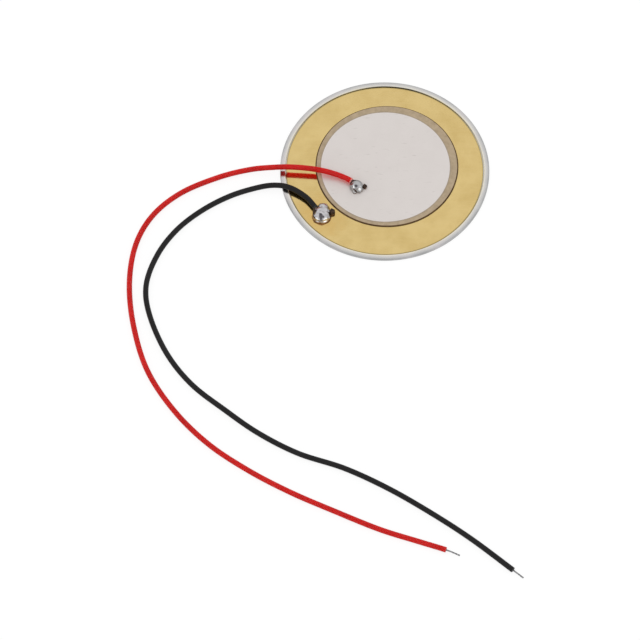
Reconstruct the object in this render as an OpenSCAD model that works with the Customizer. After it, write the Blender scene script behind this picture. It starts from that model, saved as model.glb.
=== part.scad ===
// Piezo disc: a ceramic element bonded to a brass plate, seated in a thin
// metal ring, with two soldered hook-up leads that lie on the bench.
// Millimetres. Z is up, and the origin is the centre of the ring's underside.

/* [Brass plate] */
// Diameter of the brass plate
plate_d = 35; // [27:0.5:45]
// Thickness of the brass plate
plate_t = 0.22; // [0.15:0.01:0.6]

/* [Holder ring] */
// Width of the ring's flat top, outside the plate
lip_w = 0.98; // [0.6:0.02:2]
// Rise of the ring's top above the plate
lip_rise = 0.18; // [0.06:0.02:0.4]
// Reach of the ledge that carries the plate's edge
ledge_w = 1.3; // [0.5:0.1:3]
// Thickness of the ledge
ledge_t = 0.12; // [0.08:0.02:0.5]
// Radius on the ring's upper outer edge
ring_round = 0.18; // [0.04:0.02:0.3]
// Radius on the ring's lower outer edge
heel_round = 0.05; // [0.02:0.01:0.2]
// Bevel on the mouth that the plate drops in through
mouth_bevel = 0.06; // [0.02:0.01:0.1]
// Radial gap between plate and ring
seat_gap = 0.1; // [0.02:0.01:0.2]

/* [Ceramic disc] */
// Diameter of the ceramic disc
ceramic_d = 25; // [18:0.5:30]
// Thickness of the bare ceramic
ceramic_t = 0.19; // [0.1:0.01:0.4]
// Sideways offset of the ceramic on the plate
ceramic_x = 0.4; // [-1:0.1:1]
// Offset of the ceramic away from the leads' side
ceramic_y = 0.9; // [-1:0.1:1]

/* [Electrodes and bond] */
// Diameter of the front silver electrode
electrode_d = 22.9; // [15:0.1:29]
// Thickness of each fired silver electrode
electrode_t = 0.01; // [0.005:0.005:0.03]
// Sideways offset of the front electrode on the ceramic
electrode_x = -0.27; // [-0.5:0.01:0.5]
// Front-to-back offset of the front electrode on the ceramic
electrode_y = -0.23; // [-0.5:0.01:0.5]
// Thickness of the adhesive film under the ceramic
bond_t = 0.02; // [0.01:0.01:0.06]
// Width of the adhesive squeezed out round the ceramic
bond_bead_w = 0.2; // [0.1:0.02:0.5]
// Climb of that adhesive up the ceramic's edge
bond_bead_h = 0.1; // [0.04:0.02:0.15]

/* [Leads] */
// Outer diameter of the insulation
lead_d = 1; // [0.7:0.05:1.3]
// Diameter of the stranded conductor
core_d = 0.3; // [0.2:0.02:0.5]
// Turns of the strands along each bare tip
tip_turns = 0.8; // [0.2:0.1:2]

/* [Solder joints] */
// Radius of the joint on the silver electrode
red_ball_r = 1.1; // [0.8:0.05:1.6]
// Height of that ball's centre above the electrode
red_ball_z = 0.25; // [0.1:0.05:1]
// Left-to-right place of the joint on the electrode
red_joint_x = -5; // [-7:0.05:7]
// Front-to-back place of the joint on the electrode
red_joint_y = -3.7; // [-7:0.05:7]
// Radius of the joint on the brass
black_ball_r = 1.45; // [1:0.05:1.8]
// Height of that ball's centre above the brass
black_ball_z = 0.2; // [0.1:0.05:1.2]
// Bearing of the joint on the bare brass, from +X
black_joint_angle = 220.8; // [180:0.2:270]
// Radius of the narrow lobe behind that ball
lobe_r = 0.92; // [0.5:0.02:1.3]
// Distance of the lobe behind the ball
lobe_back = 1.6; // [0.8:0.1:2]
// Distance of the lobe to the right of the ball
lobe_side = 0.3; // [-0.5:0.1:0.5]
// Width of the wetted foot outside each joint
foot_w = 0.12; // [0.06:0.02:0.4]
// Width of the flux film round the red joint's foot
red_film_w = 0.12; // [0.06:0.02:0.4]
// Width of the flux film round the black joint's foot
black_film_w = 0.28; // [0.06:0.02:0.4]
// Width of the burnt flux bead beside the red joint
red_bead_w = 0.9; // [0.5:0.05:1.2]
// Width of the burnt flux bead beside the black joint
black_bead_w = 1.15; // [0.5:0.05:1.5]

/* [Hidden] */

disc_fn = 180;
small_fn = 120;
sides = 8;            // sides of every lead
rings_per_step = 2;   // rings between two route points
tip_rings = 12;       // rings along a bare tip
strands = 6;          // strands round the middle one
flute_steps = 4;      // points on each strand's crest
bead_wall = 0.02;     // thickness of the bead's thin outer edge

// Heights of the stack
plate_z = ledge_t;
plate_top = plate_z + plate_t;
ring_h = plate_top + lip_rise;
rear_z = plate_top + bond_t;
ceramic_z = rear_z + electrode_t;
ceramic_top = ceramic_z + ceramic_t;
pad_top = ceramic_top + electrode_t;

// Ring
seat_r = plate_d / 2 + seat_gap;
ring_r = seat_r + lip_w;
ledge_r = plate_d / 2 - ledge_w;

// Joints
ceramic_at = [ceramic_x, ceramic_y];
electrode_at = ceramic_at + [electrode_x, electrode_y];
red_joint = [red_joint_x, red_joint_y];
joint_way = [cos(black_joint_angle), sin(black_joint_angle)];
ceramic_edge = ceramic_d / 2 + ceramic_at * joint_way;
black_joint = joint_way * (ceramic_edge + plate_d / 2) / 2;
joint_span = 5.8;     // bare brass that the whole black joint needs
snug = min(1, (plate_d / 2 - ceramic_edge) / joint_span);
black_r = black_ball_r * snug;
black_z = black_ball_z * snug;
lobe_at = [lobe_side, lobe_back, 0] * snug;
bead_w = black_bead_w * snug;
lead_r = lead_d / 2;
red_heart = [red_joint.x, red_joint.y, pad_top + lead_r];
black_heart = [black_joint.x, black_joint.y + 0.4 * snug, plate_top + lead_r];
rested_r = 18.58;      // ring radius and lead radius that the routes were laid for
rested_lead_r = 0.5;
slide = [rested_r - ring_r, 0, lead_r - rested_lead_r];
collar_gap = 0.12;    // bare core between each joint and the end of its insulation
film_t = 0.03;        // thickness of the flux film at the solder's foot
twist_r = core_d / 2 * 0.9;   // crests of the bare twist, inside the core's sides

// Centre lines of the leads. The first point is inside the solder, the
// insulation runs from the second to the last but one, and the rest is bare.
// What lies past the second point keeps its distance from the ring's edge.
function laid(start, rest) = concat(start, [for (p = rest) p + slide]);

red_route = laid([red_heart, red_heart + [-0.85, 1, 0.14]], [
    [-8.65, -1.35, 1.34], [-12.15, -0.5, 1.6],
    [-16.15, -0.1, 1.72], [-19.65, 0, 1.5], [-24.1, -0.05, 0.75], [-29.6, -1.55, 0.53],
    [-36.1, -4.75, 0.51], [-41.05, -9.4, 0.5], [-44.05, -15.55, 0.5], [-45.1, -23.5, 0.5],
    [-44.3, -32.3, 0.5], [-41.8, -41.5, 0.5], [-37.1, -49.65, 0.5], [-31.15, -56.4, 0.5],
    [-24.15, -61.8, 0.5], [-16.7, -66.3, 0.5], [-8.95, -70.15, 0.5], [-1.15, -73.8, 0.5],
    [5.35, -76.15, 0.5], [10.45, -77.95, 0.5], [12.85, -79.1, 0.5]]);
black_route = laid([black_heart, black_heart + [-1.2, 1.05, 0.03]], [
    [-13.95, -5.9, 0.97], [-16.65, -4.1, 1.14],
    [-19.35, -3.45, 1.02], [-22.6, -3.75, 0.68], [-27.5, -5.45, 0.53], [-32.5, -8.5, 0.51],
    [-36.9, -12.55, 0.5], [-40.25, -17.75, 0.5], [-42.15, -24, 0.5], [-41.45, -30.25, 0.5],
    [-38.45, -37.95, 0.5], [-34.05, -44.3, 0.5], [-28.15, -49.6, 0.5], [-22.15, -54.4, 0.5],
    [-15.25, -58.45, 0.5], [-7.25, -61.45, 0.5], [0.35, -65.5, 0.5], [7.8, -70.45, 0.5],
    [14.85, -75.75, 0.5], [22.05, -82, 0.5], [23.85, -83.6, 0.5]]);

// ---- curves and sweeps ----

function unit(v) = v / norm(v);

// Point at share t between b and c of a smooth curve through a, b, c and d
function between(a, b, c, d, t) =
    0.5 * (2 * b + (c - a) * t + (2 * a - 5 * b + 4 * c - d) * t * t
           + (3 * b - a - 3 * c + d) * t * t * t);

// Point at parameter u of a route, where whole numbers are its own points; the
// lead never sinks into the ground
function on_route(route, u) =
    let (last = len(route) - 1, i = min(floor(u), last - 1),
         p = between(route[max(i - 1, 0)], route[i], route[i + 1],
                     route[min(i + 2, last)], u - i))
    [p.x, p.y, max(p.z, lead_r)];

// Direction of a route at parameter u
function heading(route, u) =
    let (d = 0.05, last = len(route) - 1)
    unit(on_route(route, min(u + d, last)) - on_route(route, max(u - d, 0)));

// Ring of points round a route at parameter u, one for each radius, the first
// straight down and the whole ring turned by an angle
function ring_at(route, u, radii, turn = 0) =
    let (h = heading(route, u),
         side = unit(cross([0, 0, 1], h)),
         down = cross(side, h),
         hub = on_route(route, u),
         n = len(radii))
    [for (k = [0:n - 1])
        let (a = 360 * k / n + turn)
        hub + radii[k] * (cos(a) * down + sin(a) * side)];

function round_section(r) = [for (k = [0:sides - 1]) r];

// Section of a bundle: a crest for each strand, with tin filling the valleys
function bundle_section(r) =
    let (strand_r = r / 3, hub_r = r - strand_r)
    [for (s = [0:strands - 1], k = [0:flute_steps - 1])
        let (a = 360 / strands * (k / flute_steps - 0.5))
        hub_r * cos(a) + sqrt(max(pow(strand_r, 2) - pow(hub_r * sin(a), 2), 0.0))];

// Faces of the band between two rings of n points
function band(a, b, n) =
    [for (k = [0:n - 1]) each [[a + k, b + k, b + (k + 1) % n],
                               [a + k, b + (k + 1) % n, a + (k + 1) % n]]];

// Solid through rings that all have the same number of points
module swept(rings) {
    n = len(rings[0]);
    last = (len(rings) - 1) * n;
    polyhedron(
        points = [for (ring = rings) each ring],
        faces = concat(
            [[for (k = [0:n - 1]) k]],
            [for (i = [0:len(rings) - 2]) each band(i * n, (i + 1) * n, n)],
            [[for (k = [n - 1:-1:0]) last + k]]),
        convexity = 10);
}

// Tube between an outer and an inner set of rings
module swept_tube(outer, inner) {
    n = len(outer[0]);
    last = (len(outer) - 1) * n;
    start = len(outer) * n;
    wall = [for (i = [0:len(outer) - 2]) each band(i * n, (i + 1) * n, n)];
    polyhedron(
        points = [for (ring = concat(outer, inner)) each ring],
        faces = concat(
            wall,
            [for (f = wall) [start + f[0], start + f[2], start + f[1]]],
            band(start, 0, n),
            band(last, start + last, n)),
        convexity = 10);
}

function stations(from, to, each_step) =
    [for (i = [0:(to - from) * each_step]) from + i / each_step];

// ---- leads ----

// Rings of the stranded core between two parameters of its route
function core_rings(route, from, to) =
    [for (u = stations(from, to, rings_per_step))
        ring_at(route, u, round_section(core_d / 2))];

// Faces of the shoulder between a ring of n points and a ring of m points
function shoulder(a, n, b, m) =
    let (share = m / n)
    [for (k = [0:n - 1]) each concat(
        [[a + k, b + (k + 1) * share % m, a + (k + 1) % n]],
        [for (j = [0:share - 1])
            [a + k, b + k * share + j, b + (k * share + j + 1) % m]])];

// Core under the insulation, running on as a bare tinned twist of strands
module conductor(route) {
    last = len(route) - 1;
    covered = core_rings(route, 0, last - 1);
    bare = [for (u = stations(last - 1, last, tip_rings))
        ring_at(route, u, bundle_section(twist_r), 360 * tip_turns * (u - last + 1))];
    points_round = strands * flute_steps;
    edge = (len(covered) - 1) * sides;
    start = len(covered) * sides;
    end = start + (len(bare) - 1) * points_round;
    polyhedron(
        points = [for (ring = concat(covered, bare)) each ring],
        faces = concat(
            [[for (k = [0:sides - 1]) k]],
            [for (i = [0:len(covered) - 2]) each band(i * sides, (i + 1) * sides, sides)],
            shoulder(edge, sides, start, points_round),
            [for (i = [0:len(bare) - 2])
                each band(start + i * points_round, start + (i + 1) * points_round,
                          points_round)],
            [[for (k = [points_round - 1:-1:0]) end + k]]),
        convexity = 10);
}

module insulation(route) {
    covered = stations(1, len(route) - 2, rings_per_step);
    swept_tube([for (u = covered) ring_at(route, u, round_section(lead_r))],
               [for (u = covered) ring_at(route, u, round_section(core_d / 2))]);
}

// ---- solder ----

// Half section of a solder ball of radius r with its centre at height z, from
// the axis out along the pad, up a concave wetted foot and over the top
function ball_section(r, z) =
    let (foot_r = sqrt(r * r - z * z) + foot_w,
         low = asin(min(0.5, z / r * 0.6)),
         neck = [r * cos(low), z - r * sin(low)],
         curve = [for (a = [0:15:75])
             [neck.x + (foot_r - neck.x) * (1 - sin(a)), neck.y * (1 - cos(a))]],
         dome = [for (a = [-low:(90 + low) / 16:90 - 1]) [r * cos(a), z + r * sin(a)]])
    concat([[0, 0]], curve, dome, [[0, z + r]]);

module solder_ball(r, z) {
    rotate_extrude($fn = small_fn) polygon(ball_section(r, z));
}

module above_pad() {
    translate([-plate_d, -plate_d, 0]) cube([2 * plate_d, 2 * plate_d, 3 * plate_d]);
}

// Collar of solder drawn along the bare core, from the ball almost to the insulation
module collar(from, towards) {
    way = unit(towards - from);
    reach = norm(towards - from) - collar_gap;
    translate(from)
        rotate([0, acos(way.z), atan2(way.y, way.x)])
            cylinder(h = reach, r1 = lead_r * 0.85, r2 = core_d * 0.8, $fn = small_fn);
}

module red_solder_form() {
    translate([red_joint.x, red_joint.y, pad_top]) solder_ball(red_ball_r, red_ball_z);
    collar(red_heart, red_route[1]);
}

module black_solder_form() {
    lobe_z = black_z * 0.9;
    translate([black_joint.x, black_joint.y, plate_top]) {
        solder_ball(black_r, black_z);
        translate(lobe_at) solder_ball(lobe_r * snug, lobe_z);
        intersection() {
            hull() {
                translate([0, 0, black_z]) sphere(r = black_r * 0.98, $fn = 32);
                translate(lobe_at + [0, 0, lobe_z]) sphere(r = lobe_r * snug * 0.98, $fn = 32);
            }
            above_pad();
        }
    }
    collar(black_heart, black_route[1]);
}

// Film of flux, w wide, round the foot of a ball of radius r with its centre at height z
module flux_film(r, z, w) {
    foot_r = sqrt(r * r - z * z) + foot_w * 0.5;
    edge_r = foot_r + foot_w * 0.5 + w;
    rotate_extrude($fn = small_fn)
        polygon([[foot_r, 0], [edge_r, 0], [edge_r, bead_wall / 2],
                 [edge_r - w, film_t], [foot_r, film_t]]);
}

// Bead of burnt flux: a low faceted drop of width w
module drop(w) {
    top_r = w * 0.12;
    foot_r = w * 0.16;
    corners = 6;
    intersection() {
        hull() {
            for (a = [0:360 / corners:359])
                rotate(a + 12) translate([w / 2 - foot_r, 0, 0]) sphere(r = foot_r, $fn = 16);
            for (a = [0:360 / corners:359])
                rotate(a + 12) translate([w * 0.26, 0, w * 0.5]) sphere(r = top_r, $fn = 16);
        }
        above_pad();
    }
}

// ---- the pieces ----

module rim_ring() {
    arc = [for (a = [0:15:90]) [ring_r - ring_round + ring_round * cos(a),
                                ring_round * sin(a)]];
    heel = [for (a = [90:-15:0]) [ring_r - heel_round + heel_round * cos(a),
                                  heel_round - heel_round * sin(a)]];
    upper = [for (p = arc) [p.x, ring_h - ring_round + p.y]];
    color("gainsboro")
        rotate_extrude($fn = disc_fn)
            polygon(concat([[ledge_r, 0]], heel, upper,
                           [[seat_r + mouth_bevel, ring_h], [seat_r, ring_h - mouth_bevel],
                            [seat_r, ledge_t], [ledge_r, ledge_t]]));
}

module brass_plate() {
    edge = plate_t * 0.06;
    color([0.83, 0.73, 0.49])
        translate([0, 0, plate_z])
            rotate_extrude($fn = disc_fn)
                polygon([[0, 0], [plate_d / 2 - edge, 0], [plate_d / 2, edge],
                         [plate_d / 2, plate_t - edge], [plate_d / 2 - edge, plate_t],
                         [0, plate_t]]);
}

module bond_layer() {
    r = ceramic_d / 2;
    color([0.36, 0.27, 0.14])
        translate([ceramic_at.x, ceramic_at.y, plate_top])
            rotate_extrude($fn = disc_fn)
                polygon([[0, 0], [r + bond_bead_w, 0], [r + bond_bead_w, bead_wall / 2],
                         [r + bond_bead_w * 0.5, bond_bead_h * 0.3],
                         [r + bond_bead_w * 0.18, bond_bead_h * 0.65],
                         [r, bond_bead_h], [r, bond_t], [0, bond_t]]);
}

module rear_electrode() {
    color([0.8, 0.8, 0.79])
        translate([ceramic_at.x, ceramic_at.y, rear_z])
            cylinder(h = electrode_t, d = ceramic_d, $fn = disc_fn);
}

module ceramic_disc() {
    color([0.69, 0.63, 0.55])
        translate([ceramic_at.x, ceramic_at.y, ceramic_z])
            cylinder(h = ceramic_t, d = ceramic_d, $fn = disc_fn);
}

module front_electrode() {
    color([0.85, 0.82, 0.79])
        translate([electrode_at.x, electrode_at.y, ceramic_top])
            cylinder(h = electrode_t, d = electrode_d, $fn = disc_fn);
}

module red_solder() {
    color([0.78, 0.79, 0.8])
        difference() {
            red_solder_form();
            swept(core_rings(red_route, 0, 1.5));
        }
}

module black_solder() {
    color([0.78, 0.79, 0.8])
        difference() {
            black_solder_form();
            swept(core_rings(black_route, 0, 1.5));
        }
}

module red_flux_bead() {
    color([0.22, 0.16, 0.14])
        difference() {
            translate([red_joint.x, red_joint.y, pad_top]) {
                flux_film(red_ball_r, red_ball_z, red_film_w);
                translate([red_ball_r + red_bead_w * 0.4, 0.1, 0]) drop(red_bead_w);
            }
            red_solder_form();
        }
}

module black_flux_bead() {
    color([0.22, 0.16, 0.14])
        difference() {
            translate([black_joint.x, black_joint.y, plate_top]) {
                flux_film(black_r, black_z, black_film_w * snug);
                translate(lobe_at) flux_film(lobe_r * snug, black_z * 0.9, black_film_w * snug);
                translate([black_r + bead_w * 0.26, 0.6 * snug, 0]) drop(bead_w);
            }
            black_solder_form();
        }
}

module red_conductor() {
    color([0.5, 0.5, 0.51]) conductor(red_route);
}

module red_insulation() {
    color([0.75, 0.1, 0.1]) insulation(red_route);
}

module black_conductor() {
    color([0.5, 0.5, 0.51]) conductor(black_route);
}

module black_insulation() {
    color([0.1, 0.1, 0.11]) insulation(black_route);
}

rim_ring();
brass_plate();
bond_layer();
rear_electrode();
ceramic_disc();
front_electrode();
red_solder();
black_solder();
red_flux_bead();
black_flux_bead();
red_conductor();
red_insulation();
black_conductor();
black_insulation();
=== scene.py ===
import math

import bpy
from mathutils import Matrix, Vector, noise


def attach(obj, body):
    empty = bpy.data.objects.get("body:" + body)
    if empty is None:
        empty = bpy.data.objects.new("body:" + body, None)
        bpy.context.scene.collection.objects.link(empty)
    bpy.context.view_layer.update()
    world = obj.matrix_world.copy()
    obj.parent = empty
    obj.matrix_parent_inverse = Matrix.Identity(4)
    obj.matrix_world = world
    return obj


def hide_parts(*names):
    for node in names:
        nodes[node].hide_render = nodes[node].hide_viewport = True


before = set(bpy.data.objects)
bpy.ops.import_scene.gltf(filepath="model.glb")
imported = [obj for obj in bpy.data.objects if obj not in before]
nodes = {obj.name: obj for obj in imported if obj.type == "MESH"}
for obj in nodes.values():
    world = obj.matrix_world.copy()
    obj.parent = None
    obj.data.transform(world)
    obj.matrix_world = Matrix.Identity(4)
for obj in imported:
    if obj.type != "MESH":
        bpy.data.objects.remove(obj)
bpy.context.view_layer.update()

scene = bpy.context.scene
scene.view_settings.view_transform = "Standard"

# Sizes below are in millimetres. A new piece is modelled in them and shrunk to metres last.
mm = 0.001
leadOuter = 1.0

# Where the strands sit in each joint, and where the insulation stops beside it.
redHeart = Vector((-5, -3.7, 1.07))
redEnd = redHeart + Vector((-0.85, 1, 0.14))
blackHeart = Vector((-11.02, -9.11, 0.84))
blackEnd = blackHeart + Vector((-1.2, 1.05, 0.03))


def dropSelection():
    bpy.ops.object.select_all(action="DESELECT")
    bpy.context.view_layer.objects.active = None


def pick(piece):
    dropSelection()
    piece.select_set(True)
    bpy.context.view_layer.objects.active = piece


lookFrom = {
    "at": Vector((-11.48, -31.12, 0.5)),
    "height": 58.62,      # degrees above the bench
    "distance": 2000,
    "lens": 639,
    "farthest": 20000,
}


def setCamera(s):
    tilt = math.radians(s["height"])
    back = Vector((0, -math.cos(tilt), math.sin(tilt)))
    bpy.ops.object.camera_add(location=(s["at"] + back * s["distance"]) * mm,
                              rotation=(math.pi / 2 - tilt, 0, 0))
    camera = bpy.context.object
    camera.data.lens = s["lens"]
    camera.data.clip_end = s["farthest"] * mm
    scene.camera = camera


setCamera(lookFrom)
print("camera set")


def newMaterial(name):
    mat = bpy.data.materials.new(name)
    mat.use_nodes = True
    tree = mat.node_tree
    return mat, tree, tree.nodes["Principled BSDF"]


def addNode(tree, kind, values=None, **settings):
    node = tree.nodes.new(kind)
    for key, value in settings.items():
        setattr(node, key, value)
    for key, value in (values or {}).items():
        node.inputs[key].default_value = value
    return node


def join(tree, source, target):
    tree.links.new(source, target)


def perMm(tree, stretch=(1, 1, 1), turn=0):
    # object coordinates counted in millimetres, stretched for a grain that runs one way
    coords = addNode(tree, "ShaderNodeTexCoord")
    mapping = addNode(tree, "ShaderNodeMapping")
    mapping.inputs["Scale"].default_value = [1000 * k for k in stretch]
    mapping.inputs["Rotation"].default_value = (0, 0, turn)
    join(tree, coords.outputs["Object"], mapping.inputs["Vector"])
    return mapping.outputs["Vector"]


def reach(tree, middle, flat=True):
    # millimetres from a point, or from the upright line through it
    coords = addNode(tree, "ShaderNodeTexCoord")
    mapping = addNode(tree, "ShaderNodeMapping")
    mapping.inputs["Scale"].default_value = (1000, 1000, 0 if flat else 1000)
    mapping.inputs["Location"].default_value = (-middle[0], -middle[1], 0 if flat else -middle[2])
    join(tree, coords.outputs["Object"], mapping.inputs["Vector"])
    length = addNode(tree, "ShaderNodeVectorMath", operation="LENGTH")
    join(tree, mapping.outputs["Vector"], length.inputs[0])
    return length.outputs["Value"]


def level(tree):
    # height above the bench in millimetres
    axes = addNode(tree, "ShaderNodeSeparateXYZ")
    join(tree, perMm(tree), axes.inputs[0])
    return axes.outputs["Z"]


def noiseField(tree, vector, scale, detail, rough=0.55):
    field = addNode(tree, "ShaderNodeTexNoise", {"Scale": scale, "Detail": detail, "Roughness": rough})
    join(tree, vector, field.inputs["Vector"])
    return field.outputs["Fac"]


def spread(tree, source, low, high, toLow, toHigh):
    node = addNode(tree, "ShaderNodeMapRange", {"From Min": low, "From Max": high,
                                                "To Min": toLow, "To Max": toHigh})
    join(tree, source, node.inputs["Value"])
    return node.outputs["Result"]


def ramp(tree, source, *stops):
    node = addNode(tree, "ShaderNodeValToRGB")
    band = node.color_ramp
    while len(band.elements) < len(stops):
        band.elements.new(0.5)
    for element, (place, colour) in zip(band.elements, stops):
        element.position = place
        element.color = (*colour, 1)
    join(tree, source, node.inputs["Fac"])
    return node.outputs["Color"]


def feed(tree, socket, value):
    # a link, a number or a colour
    if isinstance(value, bpy.types.NodeSocket):
        join(tree, value, socket)
    else:
        socket.default_value = (*value, 1) if isinstance(value, tuple) else value


def blendColour(tree, fac, first, second, mode="MIX"):
    node = addNode(tree, "ShaderNodeMix", data_type="RGBA", blend_type=mode)
    for place, value in ((0, fac), (6, first), (7, second)):
        feed(tree, node.inputs[place], value)
    return node.outputs[2]


def combine(tree, first, second, how="ADD"):
    node = addNode(tree, "ShaderNodeMath", operation=how)
    feed(tree, node.inputs[0], first)
    feed(tree, node.inputs[1], second)
    return node.outputs[0]


def mottle(tree, vector, scale, detail, toLow, toHigh):
    # noise spread over a range, since its own values seldom leave 0.3 to 0.7
    return spread(tree, noiseField(tree, vector, scale, detail), 0.3, 0.7, toLow, toHigh)


def bump(tree, shader, height, depth, strength):
    node = addNode(tree, "ShaderNodeBump", {"Strength": strength, "Distance": depth * mm})
    join(tree, height, node.inputs["Height"])
    join(tree, node.outputs["Normal"], shader.inputs["Normal"])


def unevenSkin(tree, shader, vector, bumps):
    scale, detail, depth, strength = bumps
    bump(tree, shader, noiseField(tree, vector, scale, detail), depth, strength)


def setShader(shader, **values):
    for key, value in values.items():
        shader.inputs[key.replace("_", " ")].default_value = value


def dress(piece, mat):
    piece.data.materials.clear()
    piece.data.materials.append(mat)


# In the finishes, noise scales are counted per millimetre, and bumps are a scale, a detail,
# a depth in millimetres and a strength.
brassFinish = {
    "light": (0.73, 0.55, 0.235),
    "deep": (0.64, 0.465, 0.18),
    "clouds": 0.22,
    "rubbed": (0.74, 0.57, 0.27),
    "rubs": 6,
    "roughness": (0.10, 0.18),
    "rollStretch": (0.03, 1, 1),       # the grain runs long the way the sheet was rolled
    "rollTurn": 62,                    # degrees
    "grain": 26,                       # across that way
    "grainDepth": 0.0006,
    "edge": (0.33, 0.26, 0.1),         # painted shade line where the plate drops into the ring, on a sheared edge that is dull and a little burred
    "edgeReach": (17.3, 17.44),
    "jointTint": (0.66, 0.42, 0.13),      # warmer, darker tint round the black joint
    "jointTintAt": (-11.4, -9.6),
    "jointTintReach": (1.6, 5.2),
    "jointTintWander": 0.8,
}


def brassMaterial(s):
    mat, tree, shader = newMaterial("rolledBrass")
    plain = perMm(tree)
    rolled = perMm(tree, s["rollStretch"], math.radians(s["rollTurn"]))
    cloud = noiseField(tree, plain, s["clouds"], 5, 0.6)
    grain = noiseField(tree, rolled, s["grain"], 2)
    colour = ramp(tree, cloud, (0.32, s["deep"]), (0.62, s["light"]))
    streaks = spread(tree, noiseField(tree, rolled, s["rubs"], 3), 0.45, 0.75, 0, 0.35)
    colour = blendColour(tree, streaks, colour, s["rubbed"])
    far = combine(tree, reach(tree, s["jointTintAt"]), mottle(tree, plain, s["jointTintWander"], 3, -1, 1))
    colour = blendColour(tree, spread(tree, far, *s["jointTintReach"], 0.55, 0), colour, s["jointTint"])
    # painted shade line round the plate's rim, on its burred edge
    edge = spread(tree, reach(tree, (0, 0)), *s["edgeReach"], 0, 0.8)
    join(tree, blendColour(tree, edge, colour, s["edge"]), shader.inputs["Base Color"])
    join(tree, spread(tree, grain, 0.3, 0.7, *s["roughness"]), shader.inputs["Roughness"])
    setShader(shader, Metallic=1.0)
    bump(tree, shader, grain, s["grainDepth"], 0.5)
    return mat


ringFinish = {
    "reach": (17.2, 18.6),             # from the axis, out to the wall
    # painted highlight and shade across the ring: a bright band near the mouth, darker towards the outer
    # wall
    "across": ((0, (0.6, 0.6, 0.595)), (0.26, (0.66, 0.65, 0.61)), (0.36, (0.82, 0.78, 0.68)),
               (0.5, (0.68, 0.66, 0.63)), (0.78, (0.54, 0.535, 0.53)), (0.9, (0.44, 0.44, 0.44)),
               (1, (0.38, 0.38, 0.38))),
    "shadeWobble": 0.35,
    "blush": (0.7, 0.645, 0.65),       # faint warm bands in the plating
    "bands": 0.13,
    "mouth": (0.62, 0.54, 0.36),       # painted shade on the inner wall where the plate drops in
    "mouthReach": (17.66, 17.7),
    "mouthRise": (0.3, 0.36),
    "farShade": (0.045, 0.036, 0.016),     # and deeper painted shade in one stretch of it, on the far side
    "farShadeAt": (2, 17.5),
    "farShadeReach": (2.8, 7.5),
    "roughness": (0.12, 0.24),
    "clouds": 14,
    "bumps": (2.5, 3, 0.003, 0.4),
}


def ringMaterial(s):
    mat, tree, shader = newMaterial("nickelPlate")
    plain = perMm(tree)
    out = reach(tree, (0, 0))
    # painted highlight and shade by distance from the axis, with a wavering edge
    shadeAcross = combine(tree, spread(tree, out, *s["reach"], 0, 1),
                   mottle(tree, plain, s["shadeWobble"], 3, -0.07, 0.07))
    colour = ramp(tree, shadeAcross, *s["across"])
    bands = spread(tree, noiseField(tree, plain, s["bands"], 2), 0.5, 0.65, 0, 0.5)
    colour = blendColour(tree, bands, colour, s["blush"])
    # painted shade in the mouth, deepest on the far side
    farShadeMask = spread(tree, reach(tree, s["farShadeAt"]), *s["farShadeReach"], 1, 0)
    mouthShadeColour = blendColour(tree, farShadeMask, s["mouth"], s["farShade"])
    inMouth = combine(tree, spread(tree, out, *s["mouthReach"], 1, 0),
                      spread(tree, level(tree), *s["mouthRise"], 0, 0.9), "MULTIPLY")
    join(tree, blendColour(tree, inMouth, colour, mouthShadeColour), shader.inputs["Base Color"])
    join(tree, mottle(tree, plain, s["clouds"], 3, *s["roughness"]), shader.inputs["Roughness"])
    setShader(shader, Metallic=1.0)
    unevenSkin(tree, shader, plain, s["bumps"])
    return mat


silverFinish = {
    "light": (0.708, 0.66, 0.634),
    "dark": (0.69, 0.642, 0.616),
    "clouds": 0.3,
    "speck": (0.54, 0.5, 0.47),        # dust, and short strokes left by handling
    "dust": 3.2,
    "strokes": 1.3,
    "strokeStretch": (0.45, 2.4, 1),
    "strokeTurns": (20, 115),          # degrees
    "roughness": (0.34, 0.46),
    "polish": 9,
    "bumps": (22, 3, 0.002, 0.5),
}


def silverMaterial(s):
    mat, tree, shader = newMaterial("firedSilver")
    plain = perMm(tree)
    cloud = noiseField(tree, plain, s["clouds"], 5, 0.6)
    colour = ramp(tree, cloud, (0.3, s["dark"]), (0.6, s["light"]))
    specks = spread(tree, noiseField(tree, plain, s["dust"], 4, 0.7), 0.64, 0.74, 0, 0.5)
    for turn in s["strokeTurns"]:
        along = perMm(tree, s["strokeStretch"], math.radians(turn))
        strokes = spread(tree, noiseField(tree, along, s["strokes"], 1), 0.71, 0.8, 0, 0.6)
        specks = combine(tree, specks, strokes, "MAXIMUM")
    join(tree, blendColour(tree, specks, colour, s["speck"]), shader.inputs["Base Color"])
    join(tree, mottle(tree, plain, s["polish"], 2, *s["roughness"]), shader.inputs["Roughness"])
    setShader(shader, Metallic=0.35)
    unevenSkin(tree, shader, plain, s["bumps"])
    return mat


ceramicFinish = {
    "light": (0.477, 0.373, 0.25),
    "dark": (0.36, 0.278, 0.182),
    "clouds": 1.2,
    "inked": (0.3, 0.245, 0.19),       # where the silver paste bled, round the silver's middle
    "inkedAt": (0.13, 0.67),
    "inkedReach": (11.51, 11.75),
    "stained": (0.11, 0.04, 0.008),    # adhesive drawn up the edge, round the ceramic's own middle
    "stainedAt": (0.4, 0.9),
    "stainedReach": (12.46, 12.49),
    "bumps": (18, 3, 0.004, 0.5),
}


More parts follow.
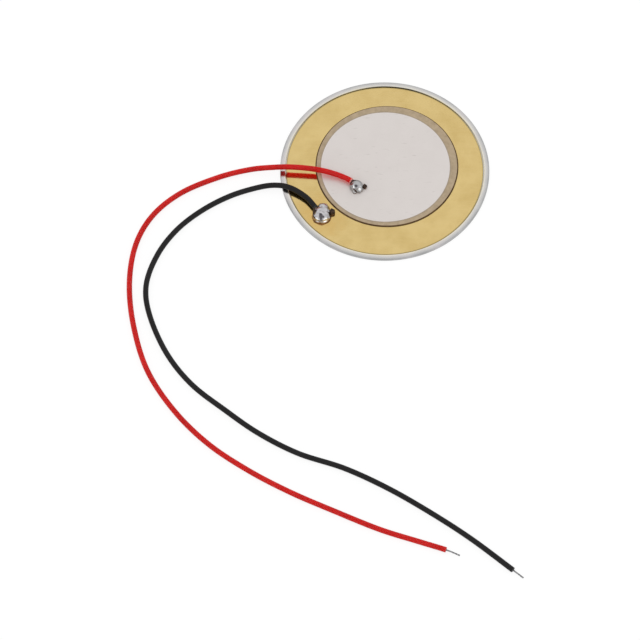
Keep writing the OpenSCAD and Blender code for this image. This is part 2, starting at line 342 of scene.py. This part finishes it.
def ceramicMaterial(s):
    mat, tree, shader = newMaterial("bareCeramic")
    plain = perMm(tree)
    cloud = noiseField(tree, plain, s["clouds"], 5, 0.65)
    colour = ramp(tree, cloud, (0.3, s["dark"]), (0.65, s["light"]))
    bled = spread(tree, reach(tree, s["inkedAt"]), *s["inkedReach"], 0.55, 0)
    colour = blendColour(tree, bled, colour, s["inked"])
    darkening = spread(tree, reach(tree, s["stainedAt"]), *s["stainedReach"], 0, 0.9)
    join(tree, blendColour(tree, darkening, colour, s["stained"]), shader.inputs["Base Color"])
    setShader(shader, Roughness=0.5, Specular_IOR_Level=0.15)
    unevenSkin(tree, shader, plain, s["bumps"])
    return mat


bondFinish = {
    "thin": (0.14, 0.08, 0.022),
    "thick": (0.05, 0.025, 0.008),
    "clouds": 1.6,
    "bumps": (5, 3, 0.01, 0.5),
}


def bondMaterial(s):
    mat, tree, shader = newMaterial("curedAdhesive")
    plain = perMm(tree)
    cloud = noiseField(tree, plain, s["clouds"], 4)
    join(tree, ramp(tree, cloud, (0.35, s["thick"]), (0.7, s["thin"])), shader.inputs["Base Color"])
    setShader(shader, Roughness=0.25, Specular_IOR_Level=0.2)
    unevenSkin(tree, shader, plain, s["bumps"])
    return mat


tinFinish = {
    "bright": (0.66, 0.66, 0.675),
    "dull": (0.5, 0.5, 0.515),
    "clouds": 1.7,
    "roughness": (0.2, 0.07),
    "wander": 2.5,                     # how the edges of the stains below waver
    "amber": (0.5, 0.33, 0.24),        # thin flux over the lower part
    "amberRise": (0.2, 0.6),
    "paintedHighlight": (0.97, 0.97, 0.97),       # painted highlight where lamps would glint
    "paintedDarkReflection": (0.075, 0.068, 0.075),     # painted dark reflection on the dome
    "darkened": (0.06, 0.027, 0.012),  # darker beside the insulation and round the foot
    "darkenedRise": (0.06, 0.2),
    "bumps": (3.5, 3, 0.02, 0.35),
}


def tinMaterial(s, name, joint):
    mat, tree, shader = newMaterial(name)
    plain = perMm(tree)
    foot, darkening = joint["foot"], joint["darkenedReach"]
    cloud = noiseField(tree, plain, s["clouds"], 4, 0.6)
    colour = ramp(tree, cloud, (0.35, s["dull"]), (0.6, s["bright"]))
    colour = blendColour(tree, 1, colour, joint["tone"], "MULTIPLY")
    wander = mottle(tree, plain, s["wander"], 3, -0.08, 0.08)
    height = combine(tree, level(tree), wander)
    tint = spread(tree, height, *(foot.z + rise for rise in s["amberRise"]), joint["tint"], 0)
    colour = blendColour(tree, tint, colour, s["amber"])
    # painted highlights and painted dark reflections, patch by patch
    for places, patch in (joint["polished"], s["paintedHighlight"]), (joint["darkReflections"], s["paintedDarkReflection"]):
        for place, size in places:
            far = combine(tree, reach(tree, foot + Vector(place), False), wander)
            colour = blendColour(tree, spread(tree, far, size * 0.7, size, 0.9, 0), colour, patch)
    beside = combine(tree, reach(tree, joint["insulationEnd"], False), wander)
    near = spread(tree, beside, darkening, darkening + 0.2, 0.9, 0)
    low = spread(tree, height, *(foot.z + rise for rise in s["darkenedRise"]), 0.8, 0)
    colour = blendColour(tree, combine(tree, near, low, "MAXIMUM"), colour, s["darkened"])
    join(tree, colour, shader.inputs["Base Color"])
    join(tree, spread(tree, cloud, 0.3, 0.7, *s["roughness"]), shader.inputs["Roughness"])
    setShader(shader, Metallic=1.0)
    unevenSkin(tree, shader, plain, s["bumps"])
    return mat


fluxFinish = {
    "burnt": (0.022, 0.012, 0.008),    # the thick bead
    "amber": (0.085, 0.045, 0.025),
    "clouds": 2.2,
    "filmDark": (0.06, 0.035, 0.014),
    "filmWarm": (0.26, 0.085, 0.016),
    "filmClouds": 0.9,
    "filmRise": (0.05, 0.12),
    "bumps": (7, 3, 0.02, 0.5),
}


def fluxMaterial(s, name, foot):
    mat, tree, shader = newMaterial(name)
    plain = perMm(tree)
    bead = ramp(tree, noiseField(tree, plain, s["clouds"], 4), (0.38, s["burnt"]), (0.66, s["amber"]))
    pools = noiseField(tree, plain, s["filmClouds"], 3)
    film = ramp(tree, pools, (0.42, s["filmDark"]), (0.58, s["filmWarm"]))
    thick = spread(tree, level(tree), *(foot.z + rise for rise in s["filmRise"]), 0, 1)
    join(tree, blendColour(tree, thick, film, bead), shader.inputs["Base Color"])
    setShader(shader, Roughness=0.35, Specular_IOR_Level=0.2)
    unevenSkin(tree, shader, plain, s["bumps"])
    return mat


redFinish = {
    "name": "redPvc",
    "face": (0.61, 0.015, 0.012),
    "deep": (0.5, 0.008, 0.007),
    "sheen": 0.16,
    "through": 0.8,                    # bright PVC that light soaks into
    "glow": 0.62,                      # painted glow, an emission standing in for what the bright plate throws back up under it
    "cutSheen": (0.8, 0.3, 0.27),           # the stripped end, paler where the knife went, with a painted highlight on the cut face
    "cutSheenAt": redEnd,
}
blackFinish = {
    "name": "blackPvc",
    "face": (0.0125, 0.0115, 0.012),
    "deep": (0.008, 0.0075, 0.008),
    "sheen": 0.18,
    "through": 0,
    "glow": 0,
    # the stripped end, a little paler, with a painted highlight on the cut face
    "cutSheen": (0.035, 0.038, 0.035),
    "cutSheenAt": blackEnd,
}
pvc = {
    "clouds": 0.35,
    "cutSheenReach": (0.5, 0.56),
    "under": (-0.9, -0.2),             # how far a face looks down, from full glow to none
    "glowReach": (16.8, 18.2),         # and no glow past the plate's edge
    "soak": 0.9,
    "soakFar": (1, 0.2, 0.12),
    "polish": 5,
    "roughness": (0.3, 0.42),
    "bumps": (3, 4, 0.012, 0.5),
}


def pvcMaterial(s, both):
    mat, tree, shader = newMaterial(s["name"])
    plain = perMm(tree)
    colour = ramp(tree, noiseField(tree, plain, both["clouds"], 4), (0.3, s["deep"]), (0.7, s["face"]))
    # paler cut end, partly a painted highlight
    cutSheen = spread(tree, reach(tree, s["cutSheenAt"], False), *both["cutSheenReach"], 0.9, 0)
    colour = blendColour(tree, cutSheen, colour, s["cutSheen"])
    join(tree, colour, shader.inputs["Base Color"])
    # painted glow on the faces that look down over the plate
    axes = addNode(tree, "ShaderNodeSeparateXYZ")
    join(tree, addNode(tree, "ShaderNodeNewGeometry").outputs["Normal"], axes.inputs[0])
    glow = combine(tree, spread(tree, axes.outputs["Z"], *both["under"], s["glow"], 0),
                   spread(tree, reach(tree, (0, 0)), *both["glowReach"], 1, 0), "MULTIPLY")
    join(tree, colour, shader.inputs["Emission Color"])
    join(tree, glow, shader.inputs["Emission Strength"])
    setShader(shader, Specular_IOR_Level=s["sheen"], Subsurface_Weight=s["through"],
              Subsurface_Scale=both["soak"] * mm, Subsurface_Radius=both["soakFar"])
    join(tree, mottle(tree, plain, both["polish"], 2, *both["roughness"]), shader.inputs["Roughness"])
    unevenSkin(tree, shader, plain, both["bumps"])
    return mat


strandFinish = {
    "bright": (0.42, 0.42, 0.43),
    "dark": (0.14, 0.135, 0.135),
    "clouds": 4,
    "bumps": (20, 2, 0.004, 0.5),
}


def strandMaterial(s):
    mat, tree, shader = newMaterial("tinnedStrands")
    plain = perMm(tree)
    cloud = noiseField(tree, plain, s["clouds"], 4)
    join(tree, ramp(tree, cloud, (0.35, s["dark"]), (0.6, s["bright"])), shader.inputs["Base Color"])
    setShader(shader, Metallic=1.0, Roughness=0.38)
    unevenSkin(tree, shader, plain, s["bumps"])
    return mat


brass = brassMaterial(brassFinish)
nickel = ringMaterial(ringFinish)
silver = silverMaterial(silverFinish)
ceramic = ceramicMaterial(ceramicFinish)
adhesive = bondMaterial(bondFinish)
redPvc = pvcMaterial(redFinish, pvc)
blackPvc = pvcMaterial(blackFinish, pvc)
tinnedStrands = strandMaterial(strandFinish)
print("materials mixed")

# A route's first point is the lead's heart in its joint, the second the end of its insulation.
redLead = {
    "name": "redLead",
    "route": [redHeart, redEnd, (-8.65, -1.35, 1.34), (-12.15, -0.5, 1.6),
              (-16.15, -0.1, 1.72), (-19.65, 0, 1.5), (-24.1, -0.05, 0.75), (-29.6, -1.55, 0.53),
              (-36.1, -4.75, 0.51), (-41.05, -9.4, 0.5), (-44.05, -15.55, 0.5), (-45.1, -23.5, 0.5),
              (-44.3, -32.3, 0.5), (-41.8, -41.5, 0.5), (-37.1, -49.65, 0.5), (-31.15, -56.4, 0.5),
              (-24.15, -61.8, 0.5), (-16.7, -66.3, 0.5), (-8.95, -70.15, 0.5), (-1.15, -73.8, 0.5),
              (5.35, -76.15, 0.5), (10.45, -77.95, 0.5), (12.85, -79.1, 0.5)],
    "outer": leadOuter,
    "length": 137.5,
    "seed": 0,
    "skin": redPvc,
    "nodes": ("red_insulation", "red_conductor"),
    "slot": "red_pvc",
}
blackLead = {
    "name": "blackLead",
    "route": [blackHeart, blackEnd, (-13.95, -5.9, 0.97), (-16.65, -4.1, 1.14),
              (-19.35, -3.45, 1.02), (-22.6, -3.75, 0.68), (-27.5, -5.45, 0.53), (-32.5, -8.5, 0.51),
              (-36.9, -12.55, 0.5), (-40.25, -17.75, 0.5), (-42.15, -24, 0.5), (-41.45, -30.25, 0.5),
              (-38.45, -37.95, 0.5), (-34.05, -44.3, 0.5), (-28.15, -49.6, 0.5), (-22.15, -54.4, 0.5),
              (-15.25, -58.45, 0.5), (-7.25, -61.45, 0.5), (0.35, -65.5, 0.5), (7.8, -70.45, 0.5),
              (14.85, -75.75, 0.5), (22.05, -82, 0.5), (23.85, -83.6, 0.5)],
    "outer": leadOuter,
    "length": 132.4,
    "seed": -3.75,
    "skin": blackPvc,
    "nodes": ("black_insulation", "black_conductor"),
    "slot": "black_pvc",
}
pvcTube = {
    "step": 0.45,         # from one ring of the mesh to the next
    "wall": 0.35,
    "lip": 0.06,          # the rounded edge of its cut ends
    "slack": 0.986,       # the mean radius, as a share of the nominal one
    "swing": 0.014,       # and how far it varies along the lead
    "wave": 0.06,
}
strandBundle = {
    "strand": 0.1,        # across one strand
    "nested": 0.98,       # the outer strands settle a little into the middle one
    "pitch": 5.5,         # one turn of the lay
    "tip": 2.6,           # the bare end, twisted tighter by fingers
    "tipPitch": 3.2,
    "perMm": 3.2,
    "short": 0.1,         # the last step is a hair shorter, so no tip leaves the lead's length
}


def onRoute(points, u):
    # smooth curve through the route's points, never below the lead's own radius
    last = len(points) - 1
    i = min(int(u), last - 1)
    t = u - i
    a, b, c, d = (Vector(points[k]) for k in (max(i - 1, 0), i, i + 1, min(i + 2, last)))
    p = (2 * b + (c - a) * t + (2 * a - 5 * b + 4 * c - d) * t ** 2 + (3 * b - a - 3 * c + d) * t ** 3) / 2
    p.z = max(p.z, leadOuter / 2)
    return p


def evenLine(points, first, last, gap):
    # the route between two of its points, as evenly spaced places
    fine = 60
    rough = [onRoute(points, first + i / fine) for i in range((last - first) * fine + 1)]
    run = [0.0]
    for a, b in zip(rough, rough[1:]):
        run.append(run[-1] + (b - a).length)
    count = max(2, round(run[-1] / gap))
    line, k = [], 0
    for i in range(count + 1):
        want = run[-1] * i / count
        while k < len(run) - 2 and run[k + 1] < want:
            k += 1
        share = (want - run[k]) / max(run[k + 1] - run[k], 1e-9)
        line.append(rough[k].lerp(rough[k + 1], share))
    return line


def curveMesh(name, lines, radius, sides, radii=None, caps=False):
    data = bpy.data.curves.new(name, "CURVE")
    data.dimensions = "3D"
    data.bevel_depth = radius
    data.bevel_resolution = sides
    data.use_fill_caps = caps
    for line in lines:
        spline = data.splines.new("POLY")
        spline.points.add(len(line) - 1)
        for i, (point, place) in enumerate(zip(spline.points, line)):
            point.co = (*place, 1)
            point.radius = radii[i] if radii else 1
    piece = bpy.data.objects.new(name, data)
    scene.collection.objects.link(piece)
    pick(piece)
    bpy.ops.object.convert(target="MESH")
    return bpy.context.object


def addModifier(piece, kind, **settings):
    modifier = piece.modifiers.new(kind.lower(), kind)
    for key, value in settings.items():
        setattr(modifier, key, value)
    pick(piece)
    bpy.ops.object.modifier_apply(modifier=modifier.name)


def finishPiece(piece, mat, angle=40):
    # outward faces, no doubles, and down to metres with the place in the mesh
    pick(piece)
    bpy.ops.object.mode_set(mode="EDIT")
    bpy.ops.mesh.select_all(action="SELECT")
    bpy.ops.mesh.remove_doubles(threshold=0.0005)
    bpy.ops.mesh.normals_make_consistent(inside=False)
    bpy.ops.object.mode_set(mode="OBJECT")
    piece.data.transform(Matrix.Scale(mm, 4) @ piece.matrix_world)
    piece.matrix_world = Matrix.Identity(4)
    bpy.ops.object.shade_smooth_by_angle(angle=math.radians(angle))
    dress(piece, mat)


def makeInsulation(s, tube):
    last = len(s["route"]) - 2
    line = evenLine(s["route"], 1, last, tube["step"])
    radii = [tube["slack"] + tube["swing"] * noise.noise(Vector((i * tube["wave"], s["seed"], 0)))
             for i in range(len(line))]
    piece = curveMesh(s["name"] + "Insulation", [line], s["outer"] / 2, 8, radii)
    addModifier(piece, "SOLIDIFY", thickness=tube["wall"], offset=-1)
    addModifier(piece, "BEVEL", width=tube["lip"], segments=3, limit_method="ANGLE",
                angle_limit=math.radians(60))
    finishPiece(piece, s["skin"])
    return piece, line


def makeStrands(s, bundle):
    # six strands laid round a middle one, from inside the solder to the bare tip
    line = evenLine(s["route"], 0, len(s["route"]) - 1, 1 / bundle["perMm"])
    line[-1] = line[-1].lerp(line[-2], bundle["short"])
    bareFrom = len(line) - round(bundle["tip"] * bundle["perMm"])
    turns = [0.0]
    for i in range(1, len(line)):
        pitch = bundle["tipPitch"] if i > bareFrom else bundle["pitch"]
        turns.append(turns[-1] + 2 * math.pi * (line[i] - line[i - 1]).length / pitch)
    strands = [line]
    for k in range(6):
        strand = []
        for i, place in enumerate(line):
            ahead = (line[min(i + 1, len(line) - 1)] - line[max(i - 1, 0)]).normalized()
            side = ahead.cross(Vector((0, 0, 1))).normalized()
            up = side.cross(ahead)
            a = turns[i] + k * math.pi / 3
            away = (side * math.cos(a) + up * math.sin(a)) * bundle["strand"] * bundle["nested"]
            strand.append(place + away)
        strands.append(strand)
    piece = curveMesh(s["name"] + "Core", strands, bundle["strand"] / 2, 1, caps=True)
    finishPiece(piece, tinnedStrands, 60)
    return piece


for lead in (redLead, blackLead):
    insulation, line = makeInsulation(lead, pvcTube)
    core = makeStrands(lead, strandBundle)
    for piece in (insulation, core):
        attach(piece, "root")
    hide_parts(lead["nodes"][0])
    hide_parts(lead["nodes"][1])
print("leads laid")

# Places in a joint are counted from its foot. A lump is its middle and its half sizes, a smear of burnt
# flux is the same, a run of it is a path and a radius, and a painted dark reflection or painted highlight
# is a place and a size.
redJoint = {
    "name": "redJoint",
    "foot": Vector((-5, -3.7, 0.57)),
    "lumps": [((0, 0.12, 0.26), (1.2, 1.1, 1.22)),
              ((-0.42, 0.34, 0.3), (0.8, 0.84, 0.8)),
              ((0.32, -0.3, 0.15), (0.85, 0.82, 0.85)),
              ((-0.32, -0.96, 0.06), (0.38, 0.32, 0.34))],
    "skirt": [((0, 0.12), 1.02)],
    "smears": [((-0.98, 0.1, 0), (0.22, 0.5, 0.2))],
    "runs": [([(-1.05, 0.21, 0.62), (-0.98, 0.49, 0.72), (-0.8, 0.69, 0.84), (-0.59, 0.84, 0.9),
               (-0.34, 0.86, 1), (-0.09, 0.76, 1.14), (0.16, 0.72, 1.17)], 0.14),
             ([(-0.52, -0.64, 0.8), (-0.39, -0.74, 0.71), (-0.27, -0.83, 0.57), (-0.12, -0.88, 0.39),
               (0.03, -0.9, 0.15)], 0.16)],
    "collar": (0.55, 0.46),            # radii of the solder drawn out to the insulation
    "insulationEnd": redEnd,
    "darkenedReach": 0.74,
    "tone": (0.72, 0.72, 0.71),        # how bright the tin set
    "tint": 0.1,                       # how much flux it kept
    "darkReflections": [((-0.1, -0.36, 1.22), 0.34), ((-0.68, -0.3, 0.95), 0.16)],
    "polished": [((-0.53, -0.45, 1.04), 0.3), ((0.5, -0.73, 0.66), 0.3)],
    "voxel": 0.04,
    "smooth": 10,
    "ripple": (0.1, 0.42),             # depth and size of the unevenness
    "film": 0,                         # how far the flux film spreads past the solder
    "bead": ((1.45, 0.12), 0.9, 4, 8),  # a chip of burnt flux: place, width, corners, turn
    "nodes": ("red_solder", "red_flux_bead"),
}
blackJoint = {
    "name": "blackJoint",
    "foot": Vector((-11.02, -9.51, 0.34)),
    "lumps": [((-0.18, -0.12, 0.1), (1.6, 1.56, 1.36)),
              ((-0.05, 0.6, 0.18), (1.44, 1.3, 1.22)),
              ((0.06, 1.4, 0.12), (1.16, 1.14, 1.1))],
    "skirt": [((-0.18, -0.1), 1.5), ((0.1, 1.5), 0.96)],
    "smears": [((-1.36, 0.75, 0.1), (0.42, 1.05, 0.86)), ((-1.0, 1.5, 0.2), (0.4, 0.45, 0.5))],
    "runs": [([(-1.3, -0.75, 0.62), (-1.42, -0.4, 0.64), (-1.48, 0.05, 0.56), (-1.5, 0.5, 0.5),
               (-1.4, 0.95, 0.45)], 0.26)],
    "collar": (0.6, 0.46),
    "insulationEnd": blackEnd,
    "darkenedReach": 0.62,
    "tone": (0.9, 0.88, 0.88),
    "tint": 0.7,
    "polished": [((-0.99, -1.07, 0.8), 0.36), ((0.5, -1.2, 0.72), 0.48)],
    "darkReflections": [((-0.33, -0.4, 1.32), 0.28), ((-0.3, -0.72, 1.22), 0.46), ((0.1, -0.86, 1.18), 0.26),
                ((-0.22, -1.2, 0.94), 0.32)],
    "voxel": 0.05,
    "smooth": 16,
    "ripple": (0.12, 0.6),
    "film": 0.12,
    "bead": ((1.7, 0.72), 1.14, 5, 20),
    "nodes": ("black_solder", "black_flux_bead"),
}


def lump(middle, sizes):
    dropSelection()
    bpy.ops.mesh.primitive_ico_sphere_add(subdivisions=4, radius=1, location=middle)
    piece = bpy.context.object
    piece.scale = sizes
    bpy.ops.object.transform_apply(location=True, rotation=True, scale=True)
    return piece


def disc(middle, radius, depth):
    dropSelection()
    bpy.ops.mesh.primitive_cylinder_add(vertices=64, radius=radius, depth=depth, location=middle)
    bpy.ops.object.transform_apply(location=True, rotation=True, scale=True)
    return bpy.context.object


def joined(pieces, name):
    dropSelection()
    for piece in pieces:
        piece.select_set(True)
    bpy.context.view_layer.objects.active = pieces[0]
    bpy.ops.object.join()
    pieces[0].name = pieces[0].data.name = name
    return pieces[0]


def cutBelow(piece, height):
    # flat foot where the piece stands
    pick(piece)
    bpy.ops.object.mode_set(mode="EDIT")
    bpy.ops.mesh.select_all(action="SELECT")
    bpy.ops.mesh.bisect(plane_co=(0, 0, height), plane_no=(0, 0, 1), use_fill=True, clear_inner=True)
    bpy.ops.object.mode_set(mode="OBJECT")


def ripple(piece, depth, size, seed):
    # uneven skin: each point moves along its own normal
    vertices = piece.data.vertices
    moves = [v.normal * depth * noise.noise(v.co / size + Vector((seed, 0, 0))) for v in vertices]
    for v, move in zip(vertices, moves):
        v.co += move


solderShape = {
    "skirt": 0.1,         # thickness where the solder wets the metal
    "lift": 0.1,          # the collar starts this far above the first lump's middle
    "overlap": 0.04,
}


def makeSolder(s, shape):
    foot, end = s["foot"], s["insulationEnd"]
    lumps = [lump(foot + Vector(middle), sizes) for middle, sizes in s["lumps"]]
    for (x, y), radius in s["skirt"]:
        lumps.append(disc(foot + Vector((x, y, 0)), radius, shape["skirt"]))
    start = foot + Vector(s["lumps"][0][0]) + Vector((0, 0, shape["lift"]))
    way = end - start
    dropSelection()
    bpy.ops.mesh.primitive_cone_add(vertices=48, radius1=s["collar"][0], radius2=s["collar"][1],
                                    depth=way.length + shape["overlap"], location=(start + end) / 2,
                                    rotation=way.to_track_quat("Z", "Y").to_euler())
    bpy.ops.object.transform_apply(location=True, rotation=True, scale=True)
    lumps.append(bpy.context.object)
    piece = joined(lumps, s["name"] + "Solder")
    addModifier(piece, "REMESH", mode="VOXEL", voxel_size=s["voxel"])
    addModifier(piece, "SMOOTH", factor=0.5, iterations=s["smooth"])
    ripple(piece, *s["ripple"], foot.x)
    cutBelow(piece, foot.z)
    finishPiece(piece, tinMaterial(tinFinish, s["name"] + "Tin", s), 60)
    return piece


filmShape = {
    "thin": 0.05,         # half the film's thickness, with a little more under a tall lump
    "more": 0.04,
    "skirt": 0.06,
    "voxel": 0.03,
    "smooth": 4,
    "wander": 0.07,       # how far its edge wanders, and how often
    "wave": 0.9,
}
beadShape = {
    "radius": 0.56,       # the first four are shares of the bead's width
    "tall": 0.72,
    "middle": 0.3,
    "edge": 0.09,
    "top": 0.86,          # and the top is this much of the foot's size
    "voxel": 0.035,
    "smooth": 3,
    "ripple": (0.07, 0.3),
}


def makeFilm(s, shape):
    foot, past = s["foot"], s["film"]
    grown = [lump(foot + Vector((x, y, 0)), (a + past, b + past, shape["thin"] + c * shape["more"]))
             for (x, y, z), (a, b, c) in s["lumps"]]
    for (x, y), radius in s["skirt"]:
        grown.append(disc(foot + Vector((x, y, 0)), radius + past, shape["skirt"]))
    for middle, sizes in s["smears"]:                 # burnt flux creeping up the solder
        grown.append(lump(foot + Vector(middle), sizes))
    for places, radius in s["runs"]:                  # and drawn along its creases
        run = [foot + Vector(place) for place in places]
        grown.append(curveMesh(s["name"] + "Run", [run], radius, 4, caps=True))
    piece = joined(grown, s["name"] + "Flux")
    addModifier(piece, "REMESH", mode="VOXEL", voxel_size=shape["voxel"])
    addModifier(piece, "SMOOTH", factor=0.5, iterations=shape["smooth"])
    for v in piece.data.vertices:
        k = 1 + shape["wander"] * noise.noise(Vector((v.co.x, v.co.y, 0)) * shape["wave"])
        v.co.x = foot.x + (v.co.x - foot.x) * k
        v.co.y = foot.y + (v.co.y - foot.y) * k
    cutBelow(piece, foot.z)
    return piece


def makeBead(s, shape):
    foot = s["foot"]
    (x, y), width, corners, turn = s["bead"]
    dropSelection()
    bpy.ops.mesh.primitive_cylinder_add(vertices=corners, radius=width * shape["radius"],
                                        depth=width * shape["tall"],
                                        location=foot + Vector((x, y, width * shape["middle"])),
                                        rotation=(0, 0, math.radians(turn)))
    piece = bpy.context.object
    bpy.ops.object.transform_apply(location=True, rotation=True, scale=True)
    bpy.ops.object.mode_set(mode="EDIT")
    bpy.ops.mesh.select_all(action="DESELECT")
    bpy.ops.object.mode_set(mode="OBJECT")
    for face in piece.data.polygons:
        face.select = face.normal.z > 0.9
    bpy.ops.object.mode_set(mode="EDIT")
    bpy.ops.transform.resize(value=(shape["top"], shape["top"], 1))
    bpy.ops.object.mode_set(mode="OBJECT")
    addModifier(piece, "BEVEL", width=width * shape["edge"], segments=3, limit_method="ANGLE")
    addModifier(piece, "REMESH", mode="VOXEL", voxel_size=shape["voxel"])
    addModifier(piece, "SMOOTH", factor=0.5, iterations=shape["smooth"])
    ripple(piece, *shape["ripple"], foot.y)
    cutBelow(piece, foot.z)
    return piece


def makeFlux(s):
    piece = joined([makeFilm(s, filmShape), makeBead(s, beadShape)], s["name"] + "Flux")
    finishPiece(piece, fluxMaterial(fluxFinish, s["name"] + "Residue", s["foot"]), 60)
    return piece


for joint in (redJoint, blackJoint):
    solder = makeSolder(joint, solderShape)
    residue = makeFlux(joint)
    for piece, node, slot in zip((solder, residue), joint["nodes"], ("solder", "flux")):
        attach(piece, "root")
        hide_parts(node)
print("joints soldered")

# The flat parts keep the meshes that the frame gives them.
for node, mat in (("rim_ring", nickel), ("brass_plate", brass), ("bond_layer", adhesive),
                  ("rear_electrode", silver), ("ceramic_disc", ceramic), ("front_electrode", silver)):
    dress(nodes[node], mat)
print("plate finished")

bench = {
    "side": 3000,
    "below": 0.02,        # how far it lies under the lowest lead
    "white": (0.86, 0.86, 0.86),
    "glow": 0.86,         # what the bench shows of its own white, so that a shadow stays faint
    "shade": (0.16, 0.16, 0.16),
}


def makeBench(s):
    dropSelection()
    bpy.ops.mesh.primitive_plane_add(size=s["side"] * mm, location=(0, 0, -s["below"] * mm))
    floor = bpy.context.object
    floor.name = "bench"
    mat = bpy.data.materials.new("benchWhite")
    mat.use_nodes = True
    tree = mat.node_tree
    tree.nodes.clear()
    out = addNode(tree, "ShaderNodeOutputMaterial")
    plain = addNode(tree, "ShaderNodeBsdfDiffuse", {"Color": (*s["white"], 1)})
    shaded = addNode(tree, "ShaderNodeBsdfDiffuse", {"Color": (*s["shade"], 1)})
    glow = addNode(tree, "ShaderNodeEmission", {"Color": (1, 1, 1, 1), "Strength": s["glow"]})
    both = addNode(tree, "ShaderNodeAddShader")
    path = addNode(tree, "ShaderNodeLightPath")
    seen = path.outputs["Is Camera Ray"]
    for ray in ("Is Glossy Ray", "Is Transmission Ray"):
        seen = combine(tree, seen, path.outputs[ray], "MAXIMUM")
    mix = addNode(tree, "ShaderNodeMixShader")
    join(tree, shaded.outputs[0], both.inputs[0])
    join(tree, glow.outputs[0], both.inputs[1])
    join(tree, seen, mix.inputs["Fac"])
    join(tree, plain.outputs[0], mix.inputs[1])
    join(tree, both.outputs[0], mix.inputs[2])
    join(tree, mix.outputs[0], out.inputs["Surface"])
    floor.data.materials.append(mat)


room = {
    "sky": 0.95,
    "horizon": 0.62,                   # the walls near the bench's edge
    "horizonEdge": (0.12, 0.5),
    "boxes": 1.8,                      # long soft boxes on the bench, left and right in front
    "boxToward": (0.77, -0.62, 0.1),
    "boxEdge": (0.84, 0.92),           # cosines of a box's soft ends
    "boxTop": (0.15, 0.22),            # and the sines of its soft upper edge
    "even": 0.975,                     # the light on dull surfaces, the same from all round
}


def lobe(tree, vector, toward, edge, strength):
    # a round patch of the room, soft between two cosines
    dot = addNode(tree, "ShaderNodeVectorMath", operation="DOT_PRODUCT")
    dot.inputs[1].default_value = Vector(toward).normalized()
    join(tree, vector, dot.inputs[0])
    patch = addNode(tree, "ShaderNodeMapRange", {"From Min": edge[0], "From Max": edge[1],
                                                 "To Min": 0, "To Max": strength},
                    interpolation_type="SMOOTHSTEP")
    join(tree, dot.outputs["Value"], patch.inputs["Value"])
    return patch.outputs["Result"]


def whiteLight(tree, strength):
    node = addNode(tree, "ShaderNodeBackground", {"Color": (1, 1, 1, 1)})
    feed(tree, node.inputs["Strength"], strength)
    return node.outputs[0]


def makeRoom(s):
    world = bpy.data.worlds.new("studio")
    scene.world = world
    world.use_nodes = True
    tree = world.node_tree
    tree.nodes.clear()
    out = addNode(tree, "ShaderNodeOutputWorld")
    coords = addNode(tree, "ShaderNodeTexCoord")
    axes = addNode(tree, "ShaderNodeSeparateXYZ")
    join(tree, coords.outputs["Generated"], axes.inputs[0])
    rise = axes.outputs["Z"]
    walls = spread(tree, rise, *s["horizonEdge"], s["horizon"], s["sky"])
    mirrored = addNode(tree, "ShaderNodeCombineXYZ")      # both sides alike
    join(tree, combine(tree, axes.outputs["X"], 0, "ABSOLUTE"), mirrored.inputs["X"])
    join(tree, axes.outputs["Y"], mirrored.inputs["Y"])
    join(tree, rise, mirrored.inputs["Z"])
    boxes = lobe(tree, mirrored.outputs[0], s["boxToward"], s["boxEdge"], s["boxes"] - s["sky"])
    boxes = combine(tree, boxes, spread(tree, rise, *s["boxTop"], 1, 0), "MULTIPLY")
    path = addNode(tree, "ShaderNodeLightPath")
    # a glossy ray sees the room until it has met a dull surface
    first = spread(tree, path.outputs["Diffuse Depth"], 0, 1, 1, 0)
    polished = combine(tree, path.outputs["Is Glossy Ray"], first, "MULTIPLY")
    surface = whiteLight(tree, s["even"])
    for seenBy, light in ((polished, whiteLight(tree, combine(tree, walls, boxes))),
                          (path.outputs["Is Camera Ray"], whiteLight(tree, 1))):
        mix = addNode(tree, "ShaderNodeMixShader")
        join(tree, seenBy, mix.inputs["Fac"])
        join(tree, surface, mix.inputs[1])
        join(tree, light, mix.inputs[2])
        surface = mix.outputs[0]
    join(tree, surface, out.inputs["Surface"])


makeBench(bench)
makeRoom(room)
print("bench and light set")
